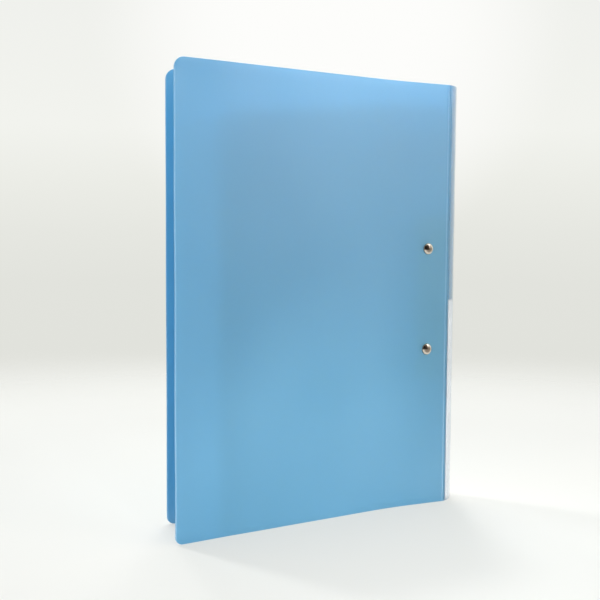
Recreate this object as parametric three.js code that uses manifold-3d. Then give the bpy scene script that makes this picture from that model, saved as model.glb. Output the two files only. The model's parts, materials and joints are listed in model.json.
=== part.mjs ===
// Polypropylene clip file, standing ajar on its bottom edge: two covers and a bowed spine joined
// by two creases, a clear label pocket on the spine, and a riveted lever clip inside the back cover.
// Millimetres, +Z up. The plan is drawn around the back crease: the flat strip of the back cover
// that carries the clip runs from it along -X, and +Y points into the file.
import * as THREE from "three";
import { mergeVertices } from "three/addons/utils/BufferGeometryUtils.js";
import Module from "manifold-3d";

const wasm = await Module();
wasm.setup();

// Sheet and covers
const COVER_HEIGHT = 335;
const COVER_WIDTH = 245; // back crease to free edge, along the sheet
const FRONT_WIDTH = 245;
const SHEET = 0.9;
const CORNER_RADIUS = 8;
const CREASE_REACH = 1.0; // hinge line to the edge of each cover
const BACK_BEND = 8; // degrees that the back cover turns outwards past the clip
const BEND_LENGTH = 40;
const BEND_MARGIN = 1.5; // flat sheet left between the clip base and the bend

// Spine
const SPINE_WIDTH = 30; // along its bowed face
const SPINE_BOW = 60; // degrees that the face turns from crease to crease
const SPINE_TURN = 54.8; // degrees from the clip strip's plane to the spine's chord
const FRONT_AJAR = 1.5; // degrees between the front cover and the clip strip

// Label pocket and label
const POCKET_WIDTH = 29.4;
const WELD_WIDTH = 0.5; // along both sides and the bottom
const FILM = 0.35;
const POCKET_INSET = 0.3; // above the bottom edge and below the top edge
const LABEL_THICK = 0.35;
const LABEL_HEIGHT = 163.5;

// Clip base: a stamped plate with turned-up ears
const CLIP_HEIGHT = 165.6; // bottom edge of the file to the middle of the clip
const BASE_LENGTH = 128;
const BASE_SETBACK = 2.5; // back crease to the base
const BASE_WIDTH = 25;
const WING_WIDTH = 28; // the base at its two ends
const WING_LENGTH = 18;
const BASE_METAL = 1.0;
const BASE_LIP = 1.9; // height of the paper stop above the plate
const BASE_CORNER = 2;
const EAR_SHOULDER = 25; // degrees that the ear's front slope starts above the lever's pin

// Jaw, on a rod through the ears
const ROD_OFFSET = 11; // back crease to the rod
const ROD_HEIGHT = 5.6; // middle of the sheet to the rod
const ROD_RADIUS = 1.3;
const ROD_HEAD_RADIUS = 2.2;
const HEAD_THICK = 0.7;
const JAW_METAL = 0.9;
const JAW_TAIL = 7.6; // rod to the jaw's rear edge
const JAW_SHOULDER = 2.5; // rod to where the jaw starts down
const JAW_FOOT_START = 11.8;
const JAW_FOOT_END = 16.2;
const JAW_CURL = 1.6; // turned-up front edge
const TAB_INSET = 10.1; // end of the jaw to the middle of its tab
const TAB_METAL = 1.0;
const TAB_RADIUS = 2.3;

// Grip strips
const STRIP_WIDTH = 3.6;
const STRIP_TEETH = 4;
const TOOTH_DEPTH = 0.35;
const BASE_STRIP_THICK = 0.95;
const JAW_STRIP_THICK = 1.3;

// Jaw springs
const WIRE_RADIUS = 0.4;
const COIL_RADIUS = 2.15;
const COIL_TURNS = 6;
const COIL_PITCH = 1.3;
const TAIL_LEG = 5.5;
const BASE_LEG_SLOPE = 35;

// Lever, on two pins above the jaw's tail
const PIVOT_OFFSET = 6.5; // back crease to the lever's pins
const PIN_RADIUS = 1.1;
const PIN_HEAD_RADIUS = 1.9;
const BOSS_RADIUS = 2.5;
const CAM_REACH = 3.4;
const CAM_RADIUS = 0.8;
const CAM_ANGLE = 32; // degrees below the line to the rear, at rest
const ARM_HEEL = 2.0; // how far a cheek's arm reaches below the pin
const LEVER_METAL = 0.9;
const CHEEK_METAL = 1.0;
const LEVER_START = 3.1; // pins to the lever plate's rear edge
const LEVER_REACH = 15; // pins to the rolled front edge
const LEVER_DROP = 3.1;
const ROLL_RADIUS = 1.25;
const SLEEVE_WALL = 0.7;
const SLEEVE_LENGTH = 58;

// Rivets
const RIVET_INSET = 24; // end of the clip base to a rivet, which leaves 80 mm between the two
const RIVET_OFFSET = 19.1; // back crease to the rivets
const RIVET_HEAD_RADIUS = 4.4;
const RIVET_HEAD_HEIGHT = 1.9;
const RIVET_RIM = 0.25;
const RIVET_RADIUS = 2.0;
const RIVET_TAIL_RADIUS = 3.4;
const RIVET_TAIL_HEIGHT = 1.0;
const TAIL_SHOULDER_RADIUS = 3.05; // the clinched tail closes in past its shoulder
const TAIL_SHOULDER_HEIGHT = 0.6;
const TAIL_FACE_RADIUS = 1.9;

// Clearances
const SEAT = 0.3; // between pieces that rest on each other
const RUNNING = 0.15; // around a rod or pin in its hole
const SIDE_PLAY = 0.4; // along a rod or pin
const CUT_THROUGH = 1; // how far a cutter passes a face

// Facets
const ROUND = 24;
const FINE_ARC = 12;
const COIL_FACETS = 8; // along each turn of a spring
const WIRE_FACETS = 6;
const GAP_SAMPLES = 400;
const STRAIGHT_ARC = 3; // degrees: shorter arcs are drawn straight

const rad = THREE.MathUtils.degToRad;
const halfSheet = SHEET / 2;
const spineRadius = SPINE_WIDTH / rad(SPINE_BOW);
const spineHalfAngle = rad(SPINE_BOW) / 2;
const spineChord = 2 * spineRadius * Math.sin(spineHalfAngle);

const baseBottom = halfSheet + SEAT;
const baseTop = baseBottom + BASE_METAL;
const baseHalf = BASE_LENGTH / 2;
const bendStart = BASE_SETBACK + WING_WIDTH + BEND_MARGIN;
const earInner = baseHalf - BASE_METAL;
const jawHalf = earInner - SIDE_PLAY;
const tabPosition = jawHalf - TAB_INSET;
const cheekOuter = earInner - SIDE_PLAY - SEAT;
const cheekInner = cheekOuter - CHEEK_METAL;
const jawUnder = COIL_RADIUS + WIRE_RADIUS + SEAT; // rod to the jaw's underside
const jawTop = jawUnder + JAW_METAL;
const pivotHeight = ROD_HEIGHT + jawTop + BOSS_RADIUS + SEAT;
const stripTop = baseTop + SEAT + BASE_STRIP_THICK;
const footUnder = stripTop + SEAT + JAW_STRIP_THICK + SEAT - ROD_HEIGHT;
const stripMiddle = ROD_OFFSET + (JAW_FOOT_START + JAW_FOOT_END) / 2;

function paint(color, roughness, metalness = 0, opacity = 1) {
  return new THREE.MeshStandardMaterial({
    color,
    roughness,
    metalness,
    opacity,
    transparent: opacity < 1,
  });
}

const paints = {
  polypropylene: paint(0x7fb2d6, 0.45, 0, 0.85),
  film: paint(0xe8eef2, 0.15, 0, 0.35),
  card: paint(0xe9e9e6, 0.9),
  steel: paint(0xb9bcc0, 0.28, 1),
  nickel: paint(0xd6d3cc, 0.15, 1),
  vinyl: paint(0x2c3036, 0.6),
};

// Booleans on closed meshes

function toSolid(geometry) {
  const plain = geometry.index ? geometry.clone() : geometry;
  const bare = new THREE.BufferGeometry();
  bare.setAttribute("position", plain.getAttribute("position"));
  if (plain.index) bare.setIndex(plain.index);
  const merged = mergeVertices(bare, 1e-4);
  return new wasm.Manifold(
    new wasm.Mesh({
      numProp: 3,
      vertProperties: new Float32Array(merged.attributes.position.array),
      triVerts: new Uint32Array(merged.index.array),
    }),
  );
}

function toGeometry(solid) {
  const mesh = solid.getMesh();
  const geometry = new THREE.BufferGeometry();
  geometry.setAttribute("position", new THREE.BufferAttribute(mesh.vertProperties, 3));
  geometry.setIndex(new THREE.BufferAttribute(mesh.triVerts, 1));
  geometry.computeVertexNormals();
  return geometry;
}

function join(...geometries) {
  return toGeometry(geometries.map(toSolid).reduce((all, next) => all.add(next)));
}

function cut(geometry, ...cutters) {
  return toGeometry(cutters.map(toSolid).reduce((left, next) => left.subtract(next), toSolid(geometry)));
}

function keepInside(geometry, bounds) {
  return toGeometry(toSolid(geometry).intersect(toSolid(bounds)));
}

// Shapes. A section is drawn as (distance from the crease or pivot, height above the sheet),
// and the distance runs along -X.

function section(points) {
  return new THREE.Shape(points.map(([distance, height]) => new THREE.Vector2(-distance, height)));
}

function upright(shape, bottom, top, curveSegments = FINE_ARC) {
  const geometry = new THREE.ExtrudeGeometry(shape, {
    depth: top - bottom,
    bevelEnabled: false,
    curveSegments,
  });
  return geometry.translate(0, 0, bottom);
}

// A flat plate whose outline is drawn in X and Z, from inner face `low` to `low + thickness`.
function plate(shape, low, thickness) {
  const geometry = new THREE.ExtrudeGeometry(shape, {
    depth: thickness,
    bevelEnabled: false,
    curveSegments: FINE_ARC,
  });
  return geometry.rotateX(Math.PI / 2).translate(0, low + thickness, 0);
}

function uprightRod(radius, bottom, top, x = 0, y = 0) {
  const geometry = new THREE.CylinderGeometry(radius, radius, top - bottom, ROUND);
  return geometry.rotateX(Math.PI / 2).translate(x, y, (top + bottom) / 2);
}

function sheetOutline(crease, free, height, radius) {
  const shape = new THREE.Shape();
  shape.moveTo(-crease, 0);
  shape.lineTo(-crease, height);
  shape.lineTo(-free + radius, height);
  shape.absarc(-free + radius, height - radius, radius, Math.PI / 2, Math.PI, false);
  shape.lineTo(-free, radius);
  shape.absarc(-free + radius, radius, radius, Math.PI, 1.5 * Math.PI, false);
  shape.closePath();
  return shape;
}

// Covers

function backCoverGeometry() {
  const bend = rad(BACK_BEND);
  const bendRadius = BEND_LENGTH / bend;
  const endX = -bendStart - bendRadius * Math.sin(bend);
  const endY = -bendRadius * (1 - Math.cos(bend));
  const rest = COVER_WIDTH - bendStart - BEND_LENGTH;
  const outwards = new THREE.Vector2(-Math.cos(bend), -Math.sin(bend));
  const side = new THREE.Vector2(Math.sin(bend), -Math.cos(bend));
  const far = new THREE.Vector2(endX, endY).addScaledVector(outwards, rest + CUT_THROUGH);
  const centre = new THREE.Vector2(-bendStart, -bendRadius);

  const shape = new THREE.Shape();
  shape.moveTo(-CREASE_REACH, -halfSheet);
  shape.lineTo(-CREASE_REACH, halfSheet);
  shape.lineTo(-bendStart, halfSheet);
  shape.absarc(centre.x, centre.y, bendRadius + halfSheet, Math.PI / 2, Math.PI / 2 + bend, false);
  shape.lineTo(far.x - side.x * halfSheet, far.y - side.y * halfSheet);
  shape.lineTo(far.x + side.x * halfSheet, far.y + side.y * halfSheet);
  shape.absarc(centre.x, centre.y, bendRadius - halfSheet, Math.PI / 2 + bend, Math.PI / 2, true);
  shape.closePath();
  const sheet = upright(shape, 0, COVER_HEIGHT);

  const outline = sheetOutline(-COVER_WIDTH, rest, COVER_HEIGHT, CORNER_RADIUS);
  const bounds = plate(outline, -COVER_WIDTH, 2 * COVER_WIDTH)
    .rotateZ(bend)
    .translate(endX, endY, 0);

  const holes = rivetHeights().map((z) => rivetHole(z));
  return cut(keepInside(sheet, bounds), ...holes);
}

function frontCoverGeometry() {
  const outline = sheetOutline(CREASE_REACH, FRONT_WIDTH, COVER_HEIGHT, CORNER_RADIUS);
  return plate(outline, -halfSheet, SHEET);
}

// Spine. Its own frame has the back crease at the origin, the chord along +X and the file's
// inside on +Y, so the face bows towards -Y.

const bowCentre = new THREE.Vector2(spineChord / 2, spineRadius * Math.cos(spineHalfAngle));

// A closed outline from [angle, radius] corners about the bow's centre: corners that share a
// radius are joined by an arc.
function bowedShape(corners) {
  const turn = Math.PI / 2;
  const shape = new THREE.Shape();
  corners.forEach(([angle, radius], i) => {
    const [from, lastRadius] = corners[i - 1] ?? [angle, null];
    const x = bowCentre.x + radius * Math.sin(angle);
    const y = bowCentre.y - radius * Math.cos(angle);
    const straight = radius !== lastRadius || Math.abs(angle - from) < rad(STRAIGHT_ARC);
    if (i === 0) shape.moveTo(x, y);
    else if (straight) shape.lineTo(x, y);
    else shape.absarc(bowCentre.x, bowCentre.y, radius, from - turn, angle - turn, angle < from);
  });
  shape.closePath();
  return shape;
}

function bowedStrip(inner, outer, half) {
  return bowedShape([[-half, outer], [half, outer], [half, inner], [-half, inner]]);
}

function spinePanelGeometry() {
  const turn = Math.PI / 2;
  const end = spineHalfAngle;
  const shape = new THREE.Shape();
  const { x, y } = bowCentre;
  shape.absarc(x, y, spineRadius + halfSheet, -end - turn, end - turn, false);
  shape.absarc(spineChord, 0, halfSheet, end - turn, end + turn, false);
  shape.absarc(x, y, spineRadius - halfSheet, end - turn, -end - turn, true);
  shape.absarc(0, 0, halfSheet, -end + turn, -end + 3 * turn, false);
  return upright(shape, 0, COVER_HEIGHT);
}

const pocketInner = spineRadius + halfSheet + SEAT;
const filmInner = pocketInner + LABEL_THICK + SEAT;
const pocketHalf = POCKET_WIDTH / 2 / spineRadius;
const weldAngle = WELD_WIDTH / spineRadius;

// The clear film stands off the panel on its two side welds and a bottom weld, open at the top.
function labelPocketGeometry() {
  const top = COVER_HEIGHT - POCKET_INSET;
  const wall = FILM / spineRadius;
  const inside = pocketHalf - weldAngle;
  const weldOuter = pocketInner + FILM;
  const filmOuter = filmInner + FILM;
  const floorTop = POCKET_INSET + WELD_WIDTH;
  const front = [
    [-pocketHalf, weldOuter],
    [-inside, weldOuter],
    [-inside, filmOuter],
    [inside, filmOuter],
    [inside, weldOuter],
    [pocketHalf, weldOuter],
    [pocketHalf, pocketInner],
    [inside - wall, pocketInner],
  ];
  const hollow = [[inside - wall, filmInner], [wall - inside, filmInner]];
  const back = [[wall - inside, pocketInner], [-pocketHalf, pocketInner]];
  return join(
    upright(bowedShape([...front, ...hollow, ...back]), floorTop, top),
    upright(bowedShape([...front, ...back]), POCKET_INSET, floorTop),
  );
}

function spineLabelGeometry() {
  const half = pocketHalf - weldAngle - (FILM + SEAT) / spineRadius;
  const shape = bowedStrip(pocketInner, pocketInner + LABEL_THICK, half);
  const bottom = POCKET_INSET + WELD_WIDTH + SEAT;
  return upright(shape, bottom, bottom + LABEL_HEIGHT);
}

// Rivets

function rivetHeights() {
  const reach = baseHalf - RIVET_INSET;
  return [CLIP_HEIGHT - reach, CLIP_HEIGHT + reach];
}

function rivetHole(z) {
  const reach = baseTop + CUT_THROUGH + halfSheet;
  return new THREE.CylinderGeometry(RIVET_RADIUS + SEAT, RIVET_RADIUS + SEAT, 2 * reach, ROUND)
    .translate(-RIVET_OFFSET, 0, z);
}

function rivetGeometry() {
  const seat = -halfSheet - SEAT;
  const crown = RIVET_HEAD_HEIGHT - RIVET_RIM;
  const ball = (RIVET_HEAD_RADIUS ** 2 + crown ** 2) / (2 * crown);
  const sweep = Math.asin(RIVET_HEAD_RADIUS / ball);
  const profile = [];
  for (let i = 0; i <= FINE_ARC / 2; i++) {
    const angle = (sweep * i) / (FINE_ARC / 2);
    const depth = seat - RIVET_HEAD_HEIGHT + ball * (1 - Math.cos(angle));
    profile.push(new THREE.Vector2(ball * Math.sin(angle), depth));
  }
  const clinch = baseTop + SEAT;
  const tail = [
    [RIVET_HEAD_RADIUS, seat],
    [RIVET_RADIUS, seat],
    [RIVET_RADIUS, clinch],
    [RIVET_TAIL_RADIUS, clinch],
    [TAIL_SHOULDER_RADIUS, clinch + TAIL_SHOULDER_HEIGHT],
    [TAIL_FACE_RADIUS, clinch + RIVET_TAIL_HEIGHT],
    [0, clinch + RIVET_TAIL_HEIGHT],
  ];
  profile.push(...tail.map(([r, y]) => new THREE.Vector2(r, y)));
  profile[0].x = 0;
  return new THREE.LatheGeometry(profile, ROUND);
}

// Clip base, in the strip's frame with Z measured from the middle of the clip

function baseOutline() {
  const front = BASE_SETBACK + BASE_WIDTH;
  const wing = BASE_SETBACK + WING_WIDTH;
  const neck = baseHalf - WING_LENGTH;
  const step = wing - front;
  const r = BASE_CORNER;
  const shape = new THREE.Shape();
  shape.moveTo(-BASE_SETBACK, -baseHalf);
  shape.lineTo(-BASE_SETBACK, baseHalf);
  shape.lineTo(-wing + r, baseHalf);
  shape.absarc(-wing + r, baseHalf - r, r, Math.PI / 2, Math.PI, false);
  shape.lineTo(-wing, neck + step);
  shape.lineTo(-front, neck);
  shape.lineTo(-front, -neck);
  shape.lineTo(-wing, -neck - step);
  shape.lineTo(-wing, -baseHalf + r);
  shape.absarc(-wing + r, -baseHalf + r, r, Math.PI, 1.5 * Math.PI, false);
  shape.closePath();
  return shape;
}

// The ear passes behind both pivots and falls away in front of the rod.
function earShape() {
  const reach = BOSS_RADIUS + SEAT;
  const rear = PIVOT_OFFSET - reach;
  const front = ROD_OFFSET + ROD_HEAD_RADIUS + BASE_METAL;
  const shoulder = rad(EAR_SHOULDER);
  const shoulderX = -PIVOT_OFFSET - reach * Math.cos(shoulder);
  const shape = new THREE.Shape();
  shape.moveTo(-rear, baseBottom + BASE_METAL / 2);
  shape.lineTo(-front - BASE_METAL, baseBottom + BASE_METAL / 2);
  shape.lineTo(-front, ROD_HEIGHT + BASE_METAL);
  shape.lineTo(shoulderX, pivotHeight + reach * Math.sin(shoulder));
  shape.absarc(-PIVOT_OFFSET, pivotHeight, reach, Math.PI - shoulder, 0, true);
  shape.closePath();
  return shape;
}

function clipBaseGeometry() {
  const pieces = [plate(baseOutline(), baseBottom, BASE_METAL)];
  const stop = section([
    [BASE_SETBACK, baseBottom],
    [BASE_SETBACK, baseTop + BASE_LIP],
    [BASE_SETBACK + BASE_METAL, baseTop + BASE_LIP],
    [BASE_SETBACK + BASE_METAL, baseBottom],
  ]);
  pieces.push(upright(stop, -jawHalf, jawHalf));
  for (const side of [-1, 1]) {
    const [low, high] = side < 0 ? [-baseHalf, -earInner] : [earInner, baseHalf];
    pieces.push(upright(earShape(), low, high));
  }
  const reach = baseHalf + CUT_THROUGH;
  const rodHole = uprightRod(ROD_RADIUS + RUNNING, -reach, reach, -ROD_OFFSET, ROD_HEIGHT);
  const pinHole = uprightRod(PIN_RADIUS + RUNNING, -reach, reach, -PIVOT_OFFSET, pivotHeight);
  const rivetHoles = rivetHeights().map((z) => rivetHole(z - CLIP_HEIGHT));
  return cut(join(...pieces), rodHole, pinHole, ...rivetHoles);
}

function headedPin(radius, headRadius, from, to) {
  const profile = [
    [0, from],
    [headRadius, from],
    [headRadius, from + HEAD_THICK],
    [radius, from + HEAD_THICK],
    [radius, to - HEAD_THICK],
    [headRadius, to - HEAD_THICK],
    [headRadius, to],
    [0, to],
  ];
  const points = profile.map(([r, y]) => new THREE.Vector2(r, y));
  return new THREE.LatheGeometry(points, ROUND).rotateX(Math.PI / 2);
}

// A ribbed strip: flat on its back, saw teeth on its working face.
function stripSection(back, thickness) {
  const sign = Math.sign(thickness);
  const face = back + thickness;
  const points = [[-STRIP_WIDTH / 2, back]];
  const pitch = STRIP_WIDTH / STRIP_TEETH;
  for (let i = 0; i < STRIP_TEETH; i++) {
    const start = -STRIP_WIDTH / 2 + i * pitch;
    points.push([start, face - sign * TOOTH_DEPTH], [start + pitch / 2, face]);
  }
  points.push([STRIP_WIDTH / 2, face - sign * TOOTH_DEPTH], [STRIP_WIDTH / 2, back]);
  return section(points);
}

// Jaw, drawn around its rod

function jawSection() {
  const foot = footUnder;
  const slope = Math.atan2(jawUnder - foot, JAW_FOOT_START - JAW_SHOULDER);
  const lean = JAW_METAL * Math.tan(slope / 2);
  return section([
    [-JAW_TAIL, jawUnder],
    [JAW_SHOULDER, jawUnder],
    [JAW_FOOT_START, foot],
    [JAW_FOOT_END + JAW_METAL, foot],
    [JAW_FOOT_END + JAW_METAL, foot + JAW_METAL + JAW_CURL],
    [JAW_FOOT_END, foot + JAW_METAL + JAW_CURL],
    [JAW_FOOT_END, foot + JAW_METAL],
    [JAW_FOOT_START + lean, foot + JAW_METAL],
    [JAW_SHOULDER + lean, jawTop],
    [-JAW_TAIL, jawTop],
  ]);
}

function tabShape() {
  const shape = new THREE.Shape();
  shape.moveTo(-TAB_RADIUS, jawUnder + JAW_METAL / 2);
  shape.lineTo(-TAB_RADIUS, 0);
  shape.absarc(0, 0, TAB_RADIUS, Math.PI, 2 * Math.PI, false);
  shape.lineTo(TAB_RADIUS, jawUnder + JAW_METAL / 2);
  shape.closePath();
  return shape;
}

function clampJawGeometry() {
  const pieces = [upright(jawSection(), -jawHalf, jawHalf)];
  for (const middle of [-tabPosition, tabPosition])
    pieces.push(upright(tabShape(), middle - TAB_METAL / 2, middle + TAB_METAL / 2));
  const reach = jawHalf + CUT_THROUGH;
  return cut(join(...pieces), uprightRod(ROD_RADIUS + RUNNING, -reach, reach));
}

// A torsion spring around the rod: one leg lies under the jaw's tail, the other runs down to the
// base. Both legs leave the coil along its tangent.
class TorsionSpring extends THREE.Curve {
  constructor(flip) {
    super();
    this.flip = flip;
    this.slope = rad(BASE_LEG_SLOPE);
    this.sweep = COIL_TURNS * 2 * Math.PI + this.slope;
    this.coilLength = this.sweep * COIL_RADIUS;
    const drop = ROD_HEIGHT - baseTop - SEAT - WIRE_RADIUS + COIL_RADIUS * Math.cos(this.slope);
    this.baseLeg = drop / Math.sin(this.slope);
    this.total = TAIL_LEG + this.coilLength + this.baseLeg;
  }

  getPoint(t, target = new THREE.Vector3()) {
    const along = t * this.total;
    const rise = (COIL_PITCH * this.sweep) / (2 * Math.PI);
    if (along < TAIL_LEG) return target.set(TAIL_LEG - along, COIL_RADIUS, 0);
    const onCoil = along - TAIL_LEG;
    if (onCoil < this.coilLength) {
      const angle = Math.PI / 2 + onCoil / COIL_RADIUS;
      const z = this.flip * rise * (onCoil / this.coilLength);
      return target.set(COIL_RADIUS * Math.cos(angle), COIL_RADIUS * Math.sin(angle), z);
    }
    const out = onCoil - this.coilLength;
    const angle = Math.PI / 2 + this.sweep;
    const x = COIL_RADIUS * Math.cos(angle) - Math.sin(angle) * out;
    const y = COIL_RADIUS * Math.sin(angle) + Math.cos(angle) * out;
    return target.set(x, y, this.flip * rise);
  }
}

function springGeometry(flip) {
  const wire = new THREE.Shape();
  wire.absarc(0, 0, WIRE_RADIUS, 0, 2 * Math.PI, false);
  const path = new TorsionSpring(flip);
  const steps = Math.round((path.total / path.coilLength) * (COIL_TURNS + 1) * COIL_FACETS);
  return new THREE.ExtrudeGeometry(wire, {
    steps,
    curveSegments: WIRE_FACETS,
    bevelEnabled: false,
    extrudePath: path,
  });
}

// Least distance between the surfaces of turns that lie a full turn or more apart.
function springGap() {
  const path = new TorsionSpring(1);
  const points = path.getSpacedPoints(GAP_SAMPLES);
  const stride = path.total / GAP_SAMPLES;
  const apart = Math.ceil((Math.PI * COIL_RADIUS) / stride);
  let least = Infinity;
  for (let i = 0; i < points.length; i++)
    for (let j = i + apart; j < points.length; j++)
      least = Math.min(least, points[i].distanceTo(points[j]));
  return least - 2 * WIRE_RADIUS;
}

// Lever, drawn around its pins

const rollX = LEVER_REACH;
const rollY = -LEVER_DROP;

function leverPlateSection() {
  const start = [LEVER_START, LEVER_METAL / 2];
  const run = Math.hypot(rollX - start[0], rollY - start[1]);
  const across = [
    ((start[1] - rollY) / run) * (LEVER_METAL / 2),
    ((rollX - start[0]) / run) * (LEVER_METAL / 2),
  ];
  return section([
    [start[0] - across[0], start[1] - across[1]],
    [rollX - across[0], rollY - across[1]],
    [rollX + across[0], rollY + across[1]],
    [start[0] + across[0], start[1] + across[1]],
  ]);
}

// A cheek: a boss round the pin, a cam lobe to the rear and an arm along the plate.
function cheekGeometry(low, high) {
  const slant = rad(CAM_ANGLE);
  const tip = new THREE.Vector2(Math.cos(slant), -Math.sin(slant)).multiplyScalar(CAM_REACH);
  const side = new THREE.Vector2(Math.sin(slant), Math.cos(slant)).multiplyScalar(CAM_RADIUS);
  const boss = uprightRod(BOSS_RADIUS, low, high);
  const lobe = uprightRod(CAM_RADIUS, low, high, tip.x, tip.y);
  const web = new THREE.Shape([
    tip.clone().add(side),
    new THREE.Vector2(0, CAM_RADIUS),
    new THREE.Vector2(0, -CAM_RADIUS),
    tip.clone().sub(side),
  ]);
  const arm = section([
    [0, BOSS_RADIUS],
    [LEVER_START, LEVER_METAL],
    [rollX, rollY + ROLL_RADIUS],
    [rollX, rollY - ROLL_RADIUS],
    [LEVER_START, -ARM_HEEL],
    [0, -BOSS_RADIUS],
  ]);
  return join(boss, lobe, upright(web, low, high), upright(arm, low, high));
}

function clipLeverGeometry() {
  const pieces = [
    upright(leverPlateSection(), -cheekOuter, cheekOuter),
    uprightRod(ROLL_RADIUS, -cheekOuter, cheekOuter, -rollX, rollY),
    cheekGeometry(cheekInner, cheekOuter),
    cheekGeometry(-cheekOuter, -cheekInner),
  ];
  const reach = cheekOuter + CUT_THROUGH;
  return cut(join(...pieces), uprightRod(PIN_RADIUS + RUNNING, -reach, reach));
}

function sleeveGeometry() {
  const inner = ROLL_RADIUS + SEAT;
  const outer = inner + SLEEVE_WALL;
  const toPivot = Math.atan2(LEVER_METAL / 2 - rollY, LEVER_START - rollX);
  const open = Math.asin((LEVER_METAL / 2 + SEAT) / inner);
  const middle = Math.PI - toPivot;
  const shape = new THREE.Shape();
  shape.absarc(-rollX, rollY, outer, middle + open, middle - open + 2 * Math.PI, false);
  shape.absarc(-rollX, rollY, inner, middle - open + 2 * Math.PI, middle + open, true);
  shape.closePath();
  return upright(shape, -SLEEVE_LENGTH / 2, SLEEVE_LENGTH / 2, ROUND);
}

// Scene graph: the back cover carries the spine and the clip, and the spine the front cover

function group(parent, x, y, z, turn = 0) {
  const made = new THREE.Group();
  made.position.set(x, y, z);
  made.rotation.z = rad(turn);
  parent.add(made);
  return made;
}

function piece(parent, name, geometry, material) {
  const mesh = new THREE.Mesh(geometry, material);
  mesh.name = name;
  parent.add(mesh);
  return mesh;
}

const clipFile = new THREE.Group();
const standing = group(clipFile, 0, 0, 0, -(BACK_BEND - FRONT_AJAR) / 2);

piece(standing, "back_cover", backCoverGeometry(), paints.polypropylene);

const spine = group(standing, 0, 0, 0, SPINE_TURN);
piece(spine, "spine_panel", spinePanelGeometry(), paints.polypropylene);
piece(spine, "label_pocket", labelPocketGeometry(), paints.film);
piece(spine, "spine_label", spineLabelGeometry(), paints.card);

const front = group(spine, spineChord, 0, 0, -SPINE_TURN - FRONT_AJAR);
piece(front, "front_cover", frontCoverGeometry(), paints.polypropylene);

const rivetNames = ["lower_rivet", "upper_rivet"];
rivetHeights().forEach((z, i) => {
  piece(standing, rivetNames[i], rivetGeometry(), paints.nickel).position.set(-RIVET_OFFSET, 0, z);
});

const clip = group(standing, 0, 0, CLIP_HEIGHT);
piece(clip, "clip_base", clipBaseGeometry(), paints.steel);
const neckHalf = baseHalf - WING_LENGTH;
const baseStrip = upright(stripSection(baseTop + SEAT, BASE_STRIP_THICK), -neckHalf, neckHalf);
piece(clip, "base_grip_strip", baseStrip, paints.vinyl).position.x = -stripMiddle;

const rodEnd = baseHalf + SEAT + HEAD_THICK;
const rod = headedPin(ROD_RADIUS, ROD_HEAD_RADIUS, -rodEnd, rodEnd);
piece(clip, "jaw_rod", rod, paints.steel).position.set(-ROD_OFFSET, ROD_HEIGHT, 0);

const jaw = group(clip, -ROD_OFFSET, ROD_HEIGHT, 0);
piece(jaw, "clamp_jaw", clampJawGeometry(), paints.steel);
const jawStrip = upright(stripSection(footUnder - SEAT, -JAW_STRIP_THICK), -neckHalf, neckHalf);
piece(jaw, "jaw_grip_strip", jawStrip, paints.vinyl).position.x = -(stripMiddle - ROD_OFFSET);

const coilHeight = COIL_PITCH * (COIL_TURNS + BASE_LEG_SLOPE / 360);
const coilOuterEnd = tabPosition - TAB_METAL / 2 - WIRE_RADIUS - SIDE_PLAY;
[["lower_jaw_spring", -1], ["upper_jaw_spring", 1]].forEach(([name, side]) => {
  const spring = piece(jaw, name, springGeometry(side), paints.nickel);
  spring.position.z = side * (coilOuterEnd - coilHeight);
});

const lever = group(clip, -PIVOT_OFFSET, pivotHeight, 0);
piece(lever, "clip_lever", clipLeverGeometry(), paints.steel);
piece(lever, "lever_sleeve", sleeveGeometry(), paints.vinyl);

const pinInner = cheekInner - SEAT - HEAD_THICK;
const pin = headedPin(PIN_RADIUS, PIN_HEAD_RADIUS, pinInner, rodEnd);
const pinPlace = [-PIVOT_OFFSET, pivotHeight, 0];
piece(clip, "upper_lever_pin", pin, paints.steel).position.set(...pinPlace);
const lowerPin = piece(clip, "lower_lever_pin", pin.clone().rotateX(Math.PI), paints.steel);
lowerPin.position.set(...pinPlace);

// The finished file stands on Z = 0 with the middle of its box over the origin.
clipFile.updateMatrixWorld(true);
const box = new THREE.Box3().setFromObject(clipFile, true);
standing.position.set(-(box.min.x + box.max.x) / 2, -(box.min.y + box.max.y) / 2, -box.min.z);
clipFile.updateMatrixWorld(true);

console.log("least gap between spring turns, mm:", springGap().toFixed(2));

export default clipFile;
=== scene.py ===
import json
import math

import bmesh
import bpy
from mathutils import Matrix, Vector

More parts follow.
